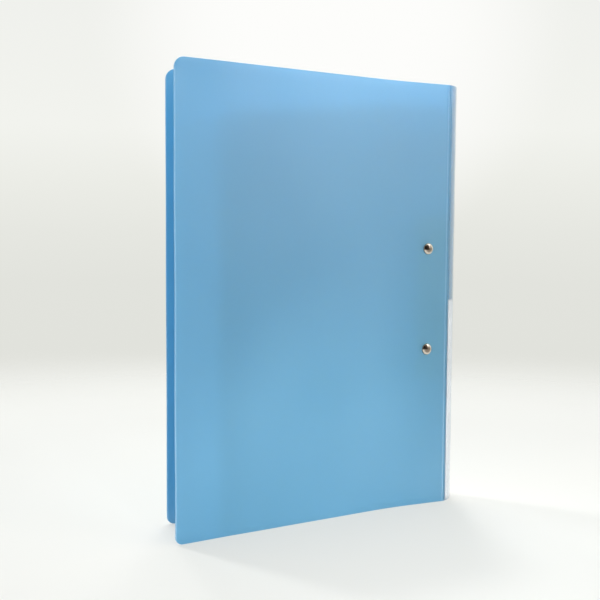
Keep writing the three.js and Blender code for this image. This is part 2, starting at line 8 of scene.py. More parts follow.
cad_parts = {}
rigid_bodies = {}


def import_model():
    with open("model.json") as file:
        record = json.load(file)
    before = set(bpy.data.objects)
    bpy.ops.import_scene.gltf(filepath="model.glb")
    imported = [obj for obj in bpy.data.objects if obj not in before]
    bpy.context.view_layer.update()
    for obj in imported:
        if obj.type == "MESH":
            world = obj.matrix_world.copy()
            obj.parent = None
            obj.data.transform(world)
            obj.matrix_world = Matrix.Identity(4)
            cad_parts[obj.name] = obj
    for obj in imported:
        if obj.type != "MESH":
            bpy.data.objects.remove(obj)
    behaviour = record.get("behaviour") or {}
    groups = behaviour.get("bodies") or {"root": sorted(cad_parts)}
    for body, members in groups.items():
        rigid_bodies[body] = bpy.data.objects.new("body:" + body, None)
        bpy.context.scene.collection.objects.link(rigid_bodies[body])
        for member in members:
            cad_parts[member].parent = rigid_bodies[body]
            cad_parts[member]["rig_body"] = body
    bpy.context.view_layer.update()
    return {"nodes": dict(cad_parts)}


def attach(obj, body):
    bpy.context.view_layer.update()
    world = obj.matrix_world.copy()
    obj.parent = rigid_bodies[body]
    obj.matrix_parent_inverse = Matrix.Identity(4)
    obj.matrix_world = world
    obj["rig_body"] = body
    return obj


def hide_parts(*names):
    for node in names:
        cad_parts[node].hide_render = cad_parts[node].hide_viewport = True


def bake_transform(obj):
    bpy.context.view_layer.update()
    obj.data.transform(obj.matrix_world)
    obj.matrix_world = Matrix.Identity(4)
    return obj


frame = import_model()
nodes = frame["nodes"]

MM = 0.001
rad = math.radians

# The file's own measures, in millimetres, as in the part's source
COVER_HEIGHT = 335
COVER_WIDTH = 245
SHEET = 0.9
CORNER_RADIUS = 8
CREASE_REACH = 1.0
BEND_START = 32
BEND_LENGTH = 40
BACK_BEND = rad(8)
SPINE_WIDTH = 30
SPINE_BOW = rad(60)
SPINE_TURN = rad(54.8)
FRONT_AJAR = rad(1.5)
STANDING_TURN = rad(-3.25)
BACK_CREASE = (112.474, -14.844)
SPINE_RADIUS = SPINE_WIDTH / SPINE_BOW
SPINE_HALF = SPINE_BOW / 2
SPINE_CHORD = 2 * SPINE_RADIUS * math.sin(SPINE_HALF)

# Where each group of the file stands, in metres. Inside a group the measures are millimetres.
TO_METRES = Matrix.Scale(MM, 4)
STANDING = (
    Matrix.Translation((BACK_CREASE[0] * MM, BACK_CREASE[1] * MM, 0))
    @ Matrix.Rotation(STANDING_TURN, 4, "Z")
    @ TO_METRES
)
SPINE = STANDING @ Matrix.Rotation(SPINE_TURN, 4, "Z")
FRONT = (
    SPINE
    @ Matrix.Translation((SPINE_CHORD, 0, 0))
    @ Matrix.Rotation(-SPINE_TURN - FRONT_AJAR, 4, "Z")
)


# Node trees

def srgb(code):
    """A #rrggbb colour as linear RGBA."""
    parts = [int(code[i : i + 2], 16) / 255 for i in (1, 3, 5)]
    line = [c / 12.92 if c <= 0.04045 else ((c + 0.055) / 1.055) ** 2.4 for c in parts]
    return (*line, 1.0)


def add(tree, kind, values=None, links=None, **settings):
    """Adds a node, with its settings, the values of its sockets and what feeds them."""
    node = tree.nodes.new(kind)
    for name, value in settings.items():
        setattr(node, name, value)
    for socket, value in (values or {}).items():
        node.inputs[socket].default_value = value
    for socket, source in (links or {}).items():
        tree.links.new(source, node.inputs[socket])
    return node


def new_material(name):
    """A material with an empty tree, and the object's coordinates in metres."""
    material = bpy.data.materials.new(name)
    material.use_nodes = True
    tree = material.node_tree
    tree.nodes.clear()
    place = add(tree, "ShaderNodeTexCoord").outputs["Object"]
    return material, tree, place


NOISE_SPAN = {"From Min": 0.3, "From Max": 0.7}  # noise seldom leaves this part of 0 to 1


def noise(tree, place, size, detail=2.0, stretch=(1, 1, 1)):
    """Noise whose features are about size millimetres across."""
    scaled = add(tree, "ShaderNodeMapping", {"Scale": stretch}, {"Vector": place})
    return add(
        tree,
        "ShaderNodeTexNoise",
        {"Scale": 1 / (size * MM), "Detail": detail},
        {"Vector": scaled.outputs["Vector"]},
    ).outputs["Fac"]


def tinted(tree, share, low, high):
    """A colour that goes from one hex to the other as the noise does."""
    level = add(tree, "ShaderNodeMapRange", NOISE_SPAN, {"Value": share})
    return add(
        tree,
        "ShaderNodeMix",
        {"A": srgb(low), "B": srgb(high)},
        {"Factor": level.outputs["Result"]},
        data_type="RGBA",
    ).outputs["Result"]


def painted_by_attribute(tree, colour, attribute, painted_hex):
    """The colour, turned to a painted hex as far as the mesh's attribute says: painted light or
    shade.
    """
    share = add(tree, "ShaderNodeAttribute", attribute_name=attribute).outputs["Fac"]
    return add(
        tree,
        "ShaderNodeMix",
        {"B": srgb(painted_hex)},
        {"Factor": share, "A": colour},
        data_type="RGBA",
    ).outputs["Result"]


def surface(tree, rubbed, smooth, worn, raised, depth, strength):
    """Links for a shader: a roughness from smooth to worn as the noise rubbed goes, and a normal
    for a face that is depth millimetres rough as the noise raised goes."""
    level = add(
        tree,
        "ShaderNodeMapRange",
        {**NOISE_SPAN, "To Min": smooth, "To Max": worn},
        {"Value": rubbed},
    )
    bump = add(
        tree,
        "ShaderNodeBump",
        {"Strength": strength, "Distance": depth * MM},
        {"Height": raised},
    )
    return {"Roughness": level.outputs["Result"], "Normal": bump.outputs["Normal"]}


# Vertex attributes that say how far light or shade is painted on a surface, and the colour painted
# there
# Painted highlight: how far the sheet's cut edges and crease bead are painted paler
HIGHLIGHT_MARK, HIGHLIGHT_HEX = "pale", "#A6D4EA"
# Painted reflection on the rivets' crowns and painted shade at their rims, in a brownish grey
REFLECTION_AND_SHADE, REFLECTION_AND_SHADE_HEX = "painted_reflection_and_shade", "#8E8074"


# Polypropylene sheet, extruded and lightly matted. More light passes through it than comes back,
# so the open edges of the file glow and what lies behind it shows as a faint shadow. Both faces
# scatter, so each passes more than the whole sheet does. The coat makes up for the gloss that
# the mix with the scattered light takes away. Its cut edges and the bead beside the crease are
# painted paler, a painted highlight for the bright line they catch.
# The real grain is about 0.2 mm, and is drawn at 0.8 mm so that it shows.
def polypropylene(name, low, high, glow, through):
    material, tree, place = new_material(name)
    cloud = noise(tree, place, 70, 1.0)
    grain = noise(tree, place, 0.8, 3.0)
    rubbed = noise(tree, place, 25, 4.0, (1, 1, 0.3))
    colour = painted_by_attribute(tree, tinted(tree, cloud, low, high), HIGHLIGHT_MARK, HIGHLIGHT_HEX)
    sheet = add(
        tree,
        "ShaderNodeBsdfPrincipled",
        {
            "IOR": 1.49,
            "Specular IOR Level": 1.0,
            "Coat Weight": 1.0,
            "Coat Roughness": 0.3,
            "Coat IOR": 1.7,
        },
        {"Base Color": colour, **surface(tree, rubbed, 0.34, 0.44, grain, 0.012, 0.5)},
    )
    lit = add(tree, "ShaderNodeBsdfTranslucent", {"Color": srgb(glow)})
    both = add(
        tree,
        "ShaderNodeMixShader",
        {"Fac": through},
        {1: sheet.outputs["BSDF"], 2: lit.outputs["BSDF"]},
    )
    add(tree, "ShaderNodeOutputMaterial", links={"Surface": both.outputs["Shader"]})
    return material


# Clear film, cast polypropylene: nearly all light goes through, and it mirrors at a slant.
def clear_film(name):
    material, tree, place = new_material(name)
    slant = add(tree, "ShaderNodeFresnel", {"IOR": 1.5}).outputs["Fac"]
    mirrored = add(
        tree,
        "ShaderNodeMapRange",
        {"From Min": 0, "From Max": 1, "To Min": 0.01, "To Max": 0.5},
        {"Value": slant},
    ).outputs["Result"]
    ripple = noise(tree, place, 12, 2.0, (1, 1, 0.2))
    rippled = add(
        tree, "ShaderNodeBump", {"Strength": 0.4, "Distance": 0.05 * MM}, {"Height": ripple}
    )
    gloss = add(
        tree,
        "ShaderNodeBsdfPrincipled",
        {"Base Color": srgb("#F2F6F8"), "Metallic": 1.0, "Roughness": 0.14},
        {"Normal": rippled.outputs["Normal"]},
    )
    clear = add(tree, "ShaderNodeBsdfTransparent", {"Color": srgb("#FBFCFD")})
    film = add(
        tree,
        "ShaderNodeMixShader",
        links={"Fac": mirrored, 1: clear.outputs["BSDF"], 2: gloss.outputs["BSDF"]},
    )
    add(tree, "ShaderNodeOutputMaterial", links={"Surface": film.outputs["Shader"]})
    return material


# Uncoated card: matt, with short fibres that show only close by, drawn wider than real ones.
def card(name):
    material, tree, place = new_material(name)
    fibres = noise(tree, place, 0.9, 6.0, (1, 1, 0.4))
    raised = add(
        tree, "ShaderNodeBump", {"Strength": 0.4, "Distance": 0.02 * MM}, {"Height": fibres}
    )
    stock = add(
        tree,
        "ShaderNodeBsdfPrincipled",
        {"Roughness": 0.9, "IOR": 1.45},
        {
            "Base Color": tinted(tree, fibres, "#E0E0E2", "#EAEAEB"),
            "Normal": raised.outputs["Normal"],
        },
    )
    add(tree, "ShaderNodeOutputMaterial", links={"Surface": stock.outputs["BSDF"]})
    return material


# Plated metal: a mirror that fine drawing and handling marks soften a little. Where the mesh says
# so it is painted a brownish grey: on the rivets' crowns as a painted reflection, and on their
# rims, where they meet the sheet, as painted shade. Real marks are about 0.1 mm wide, and are
# drawn at 0.5 to 1.5 mm so that they show.
def plated(name, low, high, smooth, worn, mark, stretch):
    material, tree, place = new_material(name)
    marks = noise(tree, place, mark, 4.0, stretch)
    colour = painted_by_attribute(tree, tinted(tree, marks, low, high), REFLECTION_AND_SHADE, REFLECTION_AND_SHADE_HEX)
    metal = add(
        tree,
        "ShaderNodeBsdfPrincipled",
        {"Metallic": 1.0},
        {"Base Color": colour, **surface(tree, marks, smooth, worn, marks, 0.003, 0.2)},
    )
    add(tree, "ShaderNodeOutputMaterial", links={"Surface": metal.outputs["BSDF"]})
    return material


# Soft vinyl, extruded: satin, a little dusty in its grain, which is drawn at 0.5 mm to show.
def vinyl(name):
    material, tree, place = new_material(name)
    grain = noise(tree, place, 0.5, 3.0)
    dust = noise(tree, place, 6, 3.0)
    colour = tinted(tree, dust, "#26292D", "#33373C")
    rubber = add(
        tree,
        "ShaderNodeBsdfPrincipled",
        {"IOR": 1.53},
        {"Base Color": colour, **surface(tree, grain, 0.42, 0.6, grain, 0.02, 0.6)},
    )
    add(tree, "ShaderNodeOutputMaterial", links={"Surface": rubber.outputs["BSDF"]})
    return material


POLYPROPYLENE = polypropylene(
    "extruded_polypropylene", "#63AAC4", "#6BB1CB", "#94CAEC", 0.45
)
# Sheet for the rims of the cut edges, painted paler as a painted highlight
EDGE_HIGHLIGHT_SHEET = polypropylene("polypropylene_painted_edge_highlight", "#98CDE6", "#A2D4EA", "#B4DFF4", 0.5)
FILM = clear_film("cast_clear_film")
CARD = card("uncoated_card")
NICKEL = plated("polished_nickel_plate", "#D2CABC", "#E0DACE", 0.1, 0.18, 1.5, (1, 1, 1))
STEEL = plated("zinc_plated_steel", "#C4C7CA", "#D6D8DA", 0.2, 0.34, 1.2, (1, 1, 0.15))
WIRE = plated("plated_spring_wire", "#A2A3A2", "#BDBDBA", 0.22, 0.34, 0.5, (1, 1, 1))
VINYL = vinyl("extruded_vinyl")


# Meshes

SHARP_ANGLE = rad(32)  # an edge sharper than this stays a sharp line in the shading


def mesh_of(shape, name):
    mesh = bpy.data.meshes.new(name)
    shape.to_mesh(mesh)
    shape.free()
    return mesh


def new_piece(name, mesh, material):
    mesh.name = name
    mesh.materials.clear()
    mesh.materials.append(material)
    piece = bpy.data.objects.new(name, mesh)
    bpy.context.scene.collection.objects.link(piece)
    return piece


def settled(piece, body, slot_name, *replaced):
    """Says what the piece moves with and hides the solids it stands for. slot_name is not used."""
    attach(piece, body)
    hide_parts(*replaced)


def made_plain(piece):
    """Keeps what the piece's modifiers make as its plain mesh, smooth but for sharp edges."""
    bpy.context.view_layer.update()
    graph = bpy.context.evaluated_depsgraph_get()
    made = bpy.data.meshes.new_from_object(piece.evaluated_get(graph))
    piece.modifiers.clear()
    piece.data = made
    shape = bmesh.new()
    shape.from_mesh(made)
    for face in shape.faces:
        face.smooth = True
    for edge in shape.edges:
        edge.smooth = edge.calc_face_angle(0) < SHARP_ANGLE
    shape.to_mesh(made)
    shape.free()


def modified(piece, *modifiers):
    """Runs the modifiers on the piece."""
    for kind, settings in modifiers:
        modifier = piece.modifiers.new(kind.title(), kind)
        for name, value in settings.items():
            setattr(modifier, name, value)
    made_plain(piece)


def rounded_edges(width, angle=40):
    """Small radii on the edges that are sharper than angle degrees."""
    return (
        "BEVEL",
        {
            "width": width * MM,
            "segments": 2,
            "limit_method": "ANGLE",
            "angle_limit": rad(angle),
        },
    )


def grid_mesh(name, columns, place, pale=None):
    """A sheet's middle surface: each column is a list of points, joined to the next one.

    pale has one value for each column: how far it is painted paler, as a painted highlight."""
    shape = bmesh.new()
    mark = shape.verts.layers.float.new(HIGHLIGHT_MARK)
    lines = [[shape.verts.new(place @ Vector(p)) for p in column] for column in columns]
    for line, value in zip(lines, pale or []):
        for vert in line:
            vert[mark] = value
    for one, two in zip(lines, lines[1:]):
        for i in range(len(one) - 1):
            shape.faces.new((one[i], two[i], two[i + 1], one[i + 1]))
    bmesh.ops.recalc_face_normals(shape, faces=shape.faces)
    return mesh_of(shape, name)


def sheet_piece(name, columns, place, thickness, edge, material, pale=None):
    """A sheet of that thickness whose edges have small radii. A pale one has its cut edges painted
    paler, as a painted highlight.
    """
    piece = new_piece(name, grid_mesh(name, columns, place, pale), material)
    settings = {"thickness": thickness * MM, "offset": 0, "use_even_offset": True}
    if pale:
        piece.data.materials.append(EDGE_HIGHLIGHT_SHEET)
        settings["material_offset_rim"] = 1
    modified(piece, ("SOLIDIFY", settings), rounded_edges(edge, 50))
    return piece


def steps(low, high, count):
    return [low + (high - low) * i / count for i in range(count + 1)]


def swell(low, high, value):
    """0 below low, 1 above high, and smooth between them."""
    share = min(max((value - low) / (high - low), 0), 1)
    return share * share * (3 - 2 * share)


# Covers: one column of points for each distance from the crease. The outer ones shorten round
# the corners. Pressing the crease has pushed up a low bead beside it. The bead and the last
# millimetre before the free edge are painted paler, a painted highlight for the bright line
# they catch.

SHEET_EDGE = 0.16
TRIM = 0.05  # keeps the cut edges inside the solids' box
LOWER_CORNER = 5.5
COVER_ROWS = 56
BEAD_HEIGHT = 0.22
BEAD_WIDTH = 0.45
BEAD_PLACE = 1.7
# How far the bead is painted paler, as a painted highlight
BEAD_HIGHLIGHT = 0.8
HIGHLIGHT_FROM, HIGHLIGHT_FULL = COVER_WIDTH - 1.2, COVER_WIDTH - 0.4

# The free part of a cover stands in slow waves, and in shorter ones near its lower and upper end.
# Each wave has its length up and across the sheet and its height, and only turns inwards.
WAVES_FROM, WAVES_FULL = 70, 240
LOWER_END, UPPER_END = 90, 250
SLOW_UP, SLOW_ACROSS, SLOW_HEIGHT = 150, 400, 0.25
SHORT_UP, SHORT_ACROSS, SHORT_HEIGHT = 210, 62, 0.2


def cover_stations():
    """Distances from the crease, close together at the bead, the bend and the corners."""
    corner = COVER_WIDTH - TRIM - CORNER_RADIUS
    along = [*steps(CREASE_REACH, 3, 10), 4, 8, 16, 24]
    along += steps(BEND_START, BEND_START + BEND_LENGTH, 8)
    along += steps(BEND_START + BEND_LENGTH, corner, 24)[1:]
    return along + [corner + CORNER_RADIUS * math.sin(t) for t in steps(0, math.pi / 2, 12)[1:]]


def corner_lift(s, radius):
    """How far a corner of that radius shortens the cover at the distance s."""
    past = max(s - (COVER_WIDTH - TRIM - radius), 0)
    return radius - math.sqrt(max(radius**2 - past**2, 0))


def bead(s):
    return math.exp(-(((s - BEAD_PLACE) / BEAD_WIDTH) ** 2))


def cover_waves(s, z):
    free = swell(WAVES_FROM, WAVES_FULL, s)
    ends = 1 - swell(0, LOWER_END, z) + swell(UPPER_END, COVER_HEIGHT, z)
    slow = 1 + math.sin(2 * math.pi * (z / SLOW_UP + s / SLOW_ACROSS))
    short = 1 + math.sin(2 * math.pi * (s / SHORT_ACROSS - z / SHORT_UP))
    return free * (SLOW_HEIGHT * slow + SHORT_HEIGHT * ends * short)


def cover_columns(middle):
    made = []
    for s in cover_stations():
        (x, y), (nx, ny) = middle(s)
        points = []
        low = TRIM + corner_lift(s, LOWER_CORNER)
        high = COVER_HEIGHT - TRIM - corner_lift(s, CORNER_RADIUS)
        for z in steps(low, high, COVER_ROWS):
            depth = cover_waves(s, z) - BEAD_HEIGHT * bead(s)
            points.append((x + nx * depth, y + ny * depth, z))
        made.append(points)
    return made


def back_middle(s):
    """Where the back cover's middle is at the distance s, and which way is inwards there."""
    if s <= BEND_START:
        return (-s, 0), (0, 1)
    radius = BEND_LENGTH / BACK_BEND
    turn = min((s - BEND_START) / radius, BACK_BEND)
    rest = max(s - BEND_START - BEND_LENGTH, 0)
    x = -BEND_START - radius * math.sin(turn) - rest * math.cos(turn)
    y = -radius * (1 - math.cos(turn)) - rest * math.sin(turn)
    return (x, y), (-math.sin(turn), math.cos(turn))


def front_middle(s):
    return (-s, 0), (0, -1)


# How far each column is painted paler: the painted highlight on the bead and the free edge
COVER_HIGHLIGHT = [
    BEAD_HIGHLIGHT * bead(s) + swell(HIGHLIGHT_FROM, HIGHLIGHT_FULL, s) for s in cover_stations()
]
for name, middle, place, body, node in [
    ("back_cover_sheet", back_middle, STANDING, "back", "back_cover"),
    ("front_cover_sheet", front_middle, FRONT, "front", "front_cover"),
]:
    cover = sheet_piece(
        name,
        cover_columns(middle),
        place,
        SHEET,
        SHEET_EDGE,
        POLYPROPYLENE,
        COVER_HIGHLIGHT,
    )
    settled(cover, body, "polypropylene", node)


# Spine: bowed between its creases

BOW_CENTRE = (SPINE_CHORD / 2, SPINE_RADIUS * math.cos(SPINE_HALF))
SPINE_LAP = 0.2  # how far the bow goes on past each hinge
PANEL_COLUMNS, PANEL_ROWS = 32, 24


def on_bow(angle, radius):
    return (
        BOW_CENTRE[0] + radius * math.sin(angle),
        BOW_CENTRE[1] - radius * math.cos(angle),
    )


def bowed_columns(half_angle, radius, bottom, top, columns, rows):
    made = []
    for angle in steps(-half_angle, half_angle, columns):
        x, y = on_bow(angle, radius)
        made.append([(x, y, z) for z in steps(bottom, top, rows)])
    return made


panel_half = SPINE_HALF + SPINE_LAP / SPINE_RADIUS
spine_sheet = sheet_piece(
    "spine_sheet",
    bowed_columns(
        panel_half, SPINE_RADIUS, TRIM, COVER_HEIGHT - TRIM, PANEL_COLUMNS, PANEL_ROWS
    ),
    SPINE,
    SHEET,
    SHEET_EDGE,
    POLYPROPYLENE,
)
settled(spine_sheet, "spine", "polypropylene", "spine_panel")


# Creases: the sheet is pressed thin along both hinge lines. Each web starts inside a cover's
# edge, bends over its hinge and ends inside the spine's edge.

WEB = 0.4
WEB_EDGE = 0.06
WEB_INSET = 0.1
WEB_LAP = 0.25
WEB_BEND = 0.8
WEB_END = 0.35
WEB_ROWS = 8


def bent_path(start, bend, end, count=6):
    """Points from start to end that turn smoothly near bend."""
    path = []
    for t in steps(0, 1, count):
        one, two, three = (1 - t) ** 2, 2 * t * (1 - t), t * t
        path.append(tuple(one * a + two * b + three * c for a, b, c in zip(start, bend, end)))
    return path


def web_piece(name, end, place):
    path = [(-CREASE_REACH - WEB_LAP, 0), (-CREASE_REACH, 0)]
    path += bent_path((-WEB_BEND, 0), (0, 0), end)
    upwards = steps(WEB_INSET, COVER_HEIGHT - WEB_INSET, WEB_ROWS)
    columns = [[(x, y, z) for z in upwards] for x, y in path]
    return sheet_piece(name, columns, place, WEB, WEB_EDGE, POLYPROPYLENE)


back_slope = SPINE_TURN - SPINE_HALF
back_end = (WEB_END * math.cos(back_slope), WEB_END * math.sin(back_slope))
back_web = web_piece("back_crease_web", back_end, STANDING)
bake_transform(back_web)

front_slope = SPINE_TURN + FRONT_AJAR + SPINE_HALF
front_end = (-WEB_END * math.cos(front_slope), -WEB_END * math.sin(front_slope))
front_web = web_piece("front_crease_web", front_end, FRONT)
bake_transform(front_web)


# Label pocket: a film welded to the panel along its sides and bottom, which rises over the card
# and has slight ripples

PANEL_FACE = SPINE_RADIUS + SHEET / 2
THIN_EDGE = 0.05
POCKET_HALF = 29.4 / 2
POCKET_INSET = 0.3
WELD_WIDTH = 0.5
WELD_RISE = 0.6
FILM_THICK = 0.22
FILM_LOW = PANEL_FACE + 0.14
FILM_HIGH = PANEL_FACE + 0.75
RIPPLE_HEIGHT = 0.05
RIPPLE_UP, RIPPLE_ACROSS = 9, 6
FILM_COLUMNS, FILM_ROWS = 28, 70
LABEL_HALF = 13.55
LABEL_THICK = 0.3
LABEL_LOW, LABEL_HIGH = 1.1, 164.6
LABEL_MIDDLE = PANEL_FACE + 0.3
LABEL_COLUMNS, LABEL_ROWS = 28, 20


def film_columns():
    rise = (WELD_WIDTH, WELD_WIDTH + WELD_RISE)
    edge = [0, WELD_WIDTH / 2, *steps(*rise, 4)]
    across = [*edge, *steps(rise[1], 2 * POCKET_HALF - rise[1], FILM_COLUMNS)[1:-1]]
    across += [2 * POCKET_HALF - d for d in reversed(edge)]
    upwards = [*edge, *steps(rise[1], COVER_HEIGHT - 2 * POCKET_INSET, FILM_ROWS)[1:]]
    made = []
    for d in across:
        side = swell(*rise, min(d, 2 * POCKET_HALF - d))
        points = []
        for up in upwards:
            lift = min(side, swell(*rise, up))
            ripple = math.sin(up / RIPPLE_UP + 2 * math.sin(d / RIPPLE_ACROSS))
            radius = FILM_LOW + (FILM_HIGH - FILM_LOW + RIPPLE_HEIGHT * ripple) * lift
            x, y = on_bow((d - POCKET_HALF) / SPINE_RADIUS, radius)
            points.append((x, y, POCKET_INSET + up))
        made.append(points)
    return made


film = sheet_piece("label_film", film_columns(), SPINE, FILM_THICK, THIN_EDGE, FILM)
settled(film, "spine", "clear_film", "label_pocket")

label_half = LABEL_HALF / SPINE_RADIUS
label = sheet_piece(
    "label_insert",
    bowed_columns(
        label_half, LABEL_MIDDLE, LABEL_LOW, LABEL_HIGH, LABEL_COLUMNS, LABEL_ROWS
    ),
    SPINE,
    LABEL_THICK,
    THIN_EDGE,
    CARD,
)
settled(label, "label", "label_card", "spine_label")


# Geometry node trees for what repeats along a line or follows a path

def node_group(name, inputs, build):
    """A tree with named inputs that ends in Realize Instances and Set Material."""
    tree = bpy.data.node_groups.new(name, "GeometryNodeTree")
    face = tree.interface
    face.new_socket("Geometry", in_out="INPUT", socket_type="NodeSocketGeometry")
    for input_name, kind in {**inputs, "Material": "NodeSocketMaterial"}.items():
        face.new_socket(input_name, in_out="INPUT", socket_type=kind)
    face.new_socket("Geometry", in_out="OUTPUT", socket_type="NodeSocketGeometry")
    given = add(tree, "NodeGroupInput").outputs
    made = build(tree, given)
    real = add(tree, "GeometryNodeRealizeInstances", links={"Geometry": made})
    painted = add(
        tree,
        "GeometryNodeSetMaterial",
        links={"Geometry": real.outputs["Geometry"], "Material": given["Material"]},
    )
    add(tree, "NodeGroupOutput", links={"Geometry": painted.outputs["Geometry"]})
    return tree


def copies_on_line(tree, given):
    line = add(
        tree,
        "GeometryNodeMeshLine",
        links={"Count": given["Count"], "Offset": given["Step"]},
    )
    return add(
        tree,
        "GeometryNodeInstanceOnPoints",
        links={"Points": line.outputs["Mesh"], "Instance": given["Geometry"]},
    ).outputs["Instances"]


def wire_along(tree, given):
    path = add(tree, "GeometryNodeMeshToCurve", links={"Mesh": given["Geometry"]})
    ring = add(
        tree,
        "GeometryNodeCurvePrimitiveCircle",
        links={"Resolution": given["Sides"], "Radius": given["Wire Radius"]},
    )
    return add(
        tree,
        "GeometryNodeCurveToMesh",
        {"Fill Caps": True},
        {"Curve": path.outputs["Curve"], "Profile Curve": ring.outputs["Curve"]},
    ).outputs["Mesh"]


REPEATED = node_group(
    "repeated_along_a_line", {"Count": "NodeSocketInt", "Step": "NodeSocketVector"}, copies_on_line
)
WOUND = node_group(
    "wire_along_a_path", {"Wire Radius": "NodeSocketFloat", "Sides": "NodeSocketInt"}, wire_along
)


def grown(name, mesh, tree, values, material):
    """What the tree makes of the mesh, as a plain piece."""
    piece = new_piece(name, mesh, material)
    modifier = piece.modifiers.new("Nodes", "NODES")
    modifier.node_group = tree
    given = {**values, "Material": material}
    for item in tree.interface.items_tree:
        if item.in_out == "INPUT" and item.name in given:
            modifier[item.identifier] = given[item.name]
    made_plain(piece)
    return piece


# Rivets: domed heads outside, clinched tails on the clip base

CLIP_HEIGHT = 165.6
RIVET_OFFSET = 19.1
RIVET_SPACING = 80
RIVET_SIDES = 48
HEAD_RADIUS = 4.4
HEAD_HEIGHT = 1.9
HEAD_RIM = 0.5
SHANK_RADIUS = 2.0
BASE_TOP = 1.75
TAIL_RADIUS = 3.4
TAIL_HEIGHT = 1.1
TAIL_HOLE = 1.2
TAIL_LIP = 0.5
HOLE_DEPTH = 0.2
SEAT_GAP = 0.02
ON_AXIS = 1e-6
CROWN_FADE = (0.45 * HEAD_RADIUS, 0.85 * HEAD_RADIUS)  # over which the crown's painted reflection ends
RIM_FADE = (0.9 * HEAD_RADIUS, HEAD_RADIUS)  # over which the rim's painted shade begins


def arc_points(cx, cy, radius, start, end, count):
    return [
        (cx + radius * math.cos(rad(a)), cy + radius * math.sin(rad(a)))
        for a in steps(start, end, count)
    ]


def rivet_profile():
    """(radius, distance into the file) from the crown to the bottom of the clinched hole."""
    seat = -SHEET / 2 - SEAT_GAP
    inner = HEAD_RADIUS - HEAD_RIM
    rise = HEAD_HEIGHT - HEAD_RIM
    ball = (inner**2 + rise**2 - HEAD_RIM**2) / (2 * (rise - HEAD_RIM))
    sweep = math.degrees(math.asin(inner / (ball - HEAD_RIM)))
    dome = arc_points(0, seat - HEAD_HEIGHT + ball, ball, -90, -90 + sweep, 12)
    rim = arc_points(inner, seat - HEAD_RIM, HEAD_RIM, -90 + sweep, 90, 12)[1:]
    curl = TAIL_HEIGHT / 2
    top = BASE_TOP + SEAT_GAP
    roll = arc_points(TAIL_RADIUS - curl, top + curl, curl, -90, 90, 8)
    lip = arc_points(TAIL_HOLE + TAIL_LIP, top + TAIL_HEIGHT - TAIL_LIP, TAIL_LIP, 90, 180, 4)
    shank = [(SHANK_RADIUS, seat), (SHANK_RADIUS, top)]
    return [*dome, *rim, *shank, *roll, *lip, (TAIL_HOLE, top), (0, top - HOLE_DEPTH)]


def lathed(profile, sides):
    """The profile turned about the Y axis, closed at both poles."""
    shape = bmesh.new()
    rings = []
    for r, y in profile:
        around = [2 * math.pi * i / sides for i in range(sides)] if r > ON_AXIS else [0]
        rings.append([shape.verts.new((r * math.cos(a), y, r * math.sin(a))) for a in around])
    for one, two in zip(rings, rings[1:]):
        for i in range(sides):
            corners = [one[i % len(one)], one[(i + 1) % len(one)]]
            corners += [two[(i + 1) % len(two)], two[i % len(two)]]
            shape.faces.new(list(dict.fromkeys(corners)))
    bmesh.ops.recalc_face_normals(shape, faces=shape.faces)
    return mesh_of(shape, "turned")


rivet = lathed(rivet_profile(), RIVET_SIDES)
# Brownish grey painted on the crown is a painted reflection, and on the rim, where the head meets
# the sheet, painted shade
painted_reflection_and_shade = rivet.attributes.new(REFLECTION_AND_SHADE, "FLOAT", "POINT")
for vert in rivet.vertices:
    off_axis = math.hypot(vert.co.x, vert.co.z)
    crown = 1 - swell(*CROWN_FADE, off_axis)
    painted_reflection_and_shade.data[vert.index].value = crown + swell(*RIM_FADE, off_axis)
rivet.transform(
    STANDING @ Matrix.Translation((-RIVET_OFFSET, 0, CLIP_HEIGHT - RIVET_SPACING / 2))
)
rivets = grown(
    "clip_rivets", rivet, REPEATED, {"Count": 2, "Step": (0, 0, RIVET_SPACING * MM)}, NICKEL
)
settled(rivets, "back", "nickel", "upper_rivet", "lower_rivet")


# Jaw springs: one leg under the jaw's tail, the coil round the rod, the other leg on the base

ROD_OFFSET = 11
ROD_HEIGHT = 5.6
COIL_RADIUS = 2.15
COIL_TURNS = 6
COIL_PITCH = 1.3
COIL_STEPS = 150
WIRE_RADIUS = 0.4
WIRE_SIDES = 12
TAIL_LEG = 5.5
BASE_LEG_SLOPE = rad(35)
BASE_LEG_GAP = 0.3
LEG_JOIN = 0.3  # between a leg's last point and the coil's first
SPRING_START = 43.27


def spring_path(side):
    sweep = COIL_TURNS * 2 * math.pi + BASE_LEG_SLOPE
    height = COIL_PITCH * sweep / (2 * math.pi)
    hub = COIL_RADIUS * math.cos(BASE_LEG_SLOPE)
    drop = ROD_HEIGHT - BASE_TOP - BASE_LEG_GAP - WIRE_RADIUS + hub
    leg = drop / math.sin(BASE_LEG_SLOPE)
    points = [(TAIL_LEG - d, COIL_RADIUS, 0) for d in steps(0, TAIL_LEG - LEG_JOIN, 4)]
    for turn in steps(0, sweep, COIL_STEPS):
        angle = math.pi / 2 + turn
        points.append(
            (COIL_RADIUS * math.cos(angle), COIL_RADIUS * math.sin(angle), height * turn / sweep)
        )
    angle = math.pi / 2 + sweep
    for out in steps(LEG_JOIN, leg, 4):
        x = COIL_RADIUS * math.cos(angle) - math.sin(angle) * out
        y = COIL_RADIUS * math.sin(angle) + math.cos(angle) * out
        points.append((x, y, height))
    return [(x, y, side * (SPRING_START + z)) for x, y, z in points]


